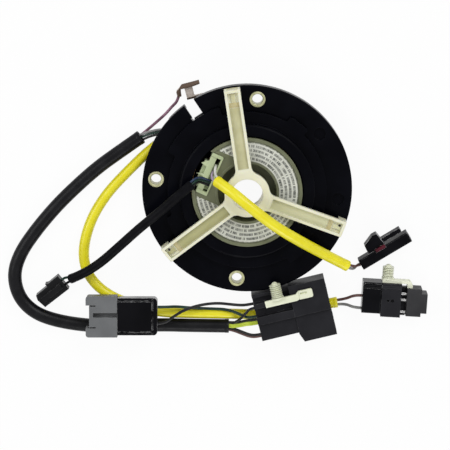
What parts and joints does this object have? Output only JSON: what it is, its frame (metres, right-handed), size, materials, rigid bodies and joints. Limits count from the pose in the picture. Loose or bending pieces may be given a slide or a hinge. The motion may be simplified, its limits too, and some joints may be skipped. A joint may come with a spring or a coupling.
{
  "type": "steering clock spring",
  "caption": "Turning contact unit for a steering column: a rotor wound through a spiral ribbon to a fixed housing, with its leads and plugs.",
  "frame": {"origin": "middle of the housing's back face, on the turning axis", "axes": "+Z along the turning axis towards the steering wheel; +Y towards the eyelet beside the notch, -X and -Y towards the other two eyelets"},
  "size_m": [0.2326, 0.1501, 0.0426],
  "materials": {
    "housing_plastic": "moulded black plastic",
    "cover_plastic": "moulded black plastic, finely grained",
    "rotor_plastic": "moulded olive-grey plastic",
    "label_film": "printed film",
    "guide_plastic": "moulded pale green-cream plastic",
    "ribbon_film": "polyester film over flat copper",
    "eyelet_steel": "pale plated steel",
    "retainer_plastic": "moulded ivory nylon, slightly translucent",
    "yellow_sleeve": "soft vinyl sleeve",
    "black_sleeve": "soft vinyl sleeve",
    "white_wire": "insulated wire",
    "lilac_wire": "insulated wire",
    "brown_wire": "insulated wire",
    "grey_wire": "insulated wire",
    "blue_wire": "insulated wire",
    "green_wire": "insulated wire",
    "black_wire": "insulated wire",
    "pink_wire": "insulated wire",
    "lime_wire": "insulated wire",
    "red_plastic": "moulded red plastic",
    "black_plastic": "moulded black plastic",
    "grey_plastic": "moulded grey plastic",
    "clip_plastic": "moulded nylon",
    "clip_metal": "tarnished sheet metal",
    "pin_metal": "tinned metal"
  },
  "bodies": {
    "housing": {"airbag_feed_clip": "clip_plastic", "airbag_feed_cover": "black_plastic", "airbag_feed_pin_1": "pin_metal", "airbag_feed_pin_2": "pin_metal", "airbag_feed_pin_3": "pin_metal", "airbag_feed_plug": "black_plastic", "airbag_feed_socket": "black_plastic", "airbag_feed_wire_brown": "brown_wire", "airbag_feed_wire_grey": "grey_wire", "airbag_lead_sleeve": "yellow_sleeve", "airbag_plug": "black_plastic", "airbag_plug_lock": "red_plastic", "airbag_wire_brown": "brown_wire", "airbag_wire_grey": "grey_wire", "airbag_wire_lilac": "lilac_wire", "airbag_wire_white": "white_wire", "eyelet_bottom": "eyelet_steel", "eyelet_left": "eyelet_steel", "eyelet_top": "eyelet_steel", "fan_wire_black": "black_wire", "fan_wire_brown": "brown_wire", "fan_wire_lime": "lime_wire", "ground_clip": "clip_metal", "ground_wire_pink": "pink_wire", "harness_clip": "clip_plastic", "harness_plug_front": "black_plastic", "harness_plug_rear": "black_plastic", "housing_base": "housing_plastic", "housing_cover": "cover_plastic", "link_wire_black": "black_wire", "link_wire_green": "green_wire", "main_sleeve_black": "black_sleeve", "main_sleeve_yellow": "yellow_sleeve", "ribbon_cable": "ribbon_film", "stator_terminal_block": "housing_plastic", "stator_wire_black": "black_wire", "stator_wire_green": "green_wire", "stator_wire_grey": "grey_wire", "switch_feed_lock": "grey_plastic", "switch_feed_plug": "black_plastic", "switch_lead_sleeve": "black_sleeve", "switch_plug": "black_plastic", "switch_plug_wire_a": "black_wire", "switch_plug_wire_b": "grey_wire", "switch_wire_blue": "blue_wire", "switch_wire_green": "green_wire", "switch_wire_grey": "grey_wire"},
    "rotor": {"rotor": "rotor_plastic", "rotor_ring": "rotor_plastic", "rotor_label": "label_film", "rotor_wire_guide": "guide_plastic", "rotor_terminal_block": "guide_plastic"},
    "retainer": {"retainer": "retainer_plastic"}
  },
  "joints": [
    {"name": "rotor_turn", "type": "hinge", "parent": "housing", "child": "rotor", "pos_m": [0, 0, 0.012], "axis": [0, 0, 1], "range_deg": [-1080, 1080], "deforming": ["ribbon_cable", "airbag_lead_sleeve", "airbag_wire_white", "airbag_wire_lilac", "airbag_wire_brown", "airbag_wire_grey", "switch_lead_sleeve", "switch_wire_blue", "switch_wire_green", "switch_wire_grey", "switch_plug_wire_a", "switch_plug_wire_b"]},
    {"name": "retainer_lift", "type": "slide", "parent": "housing", "child": "retainer", "axis": [0, 0, 1], "range_m": [0, 0.06]}
  ]
}
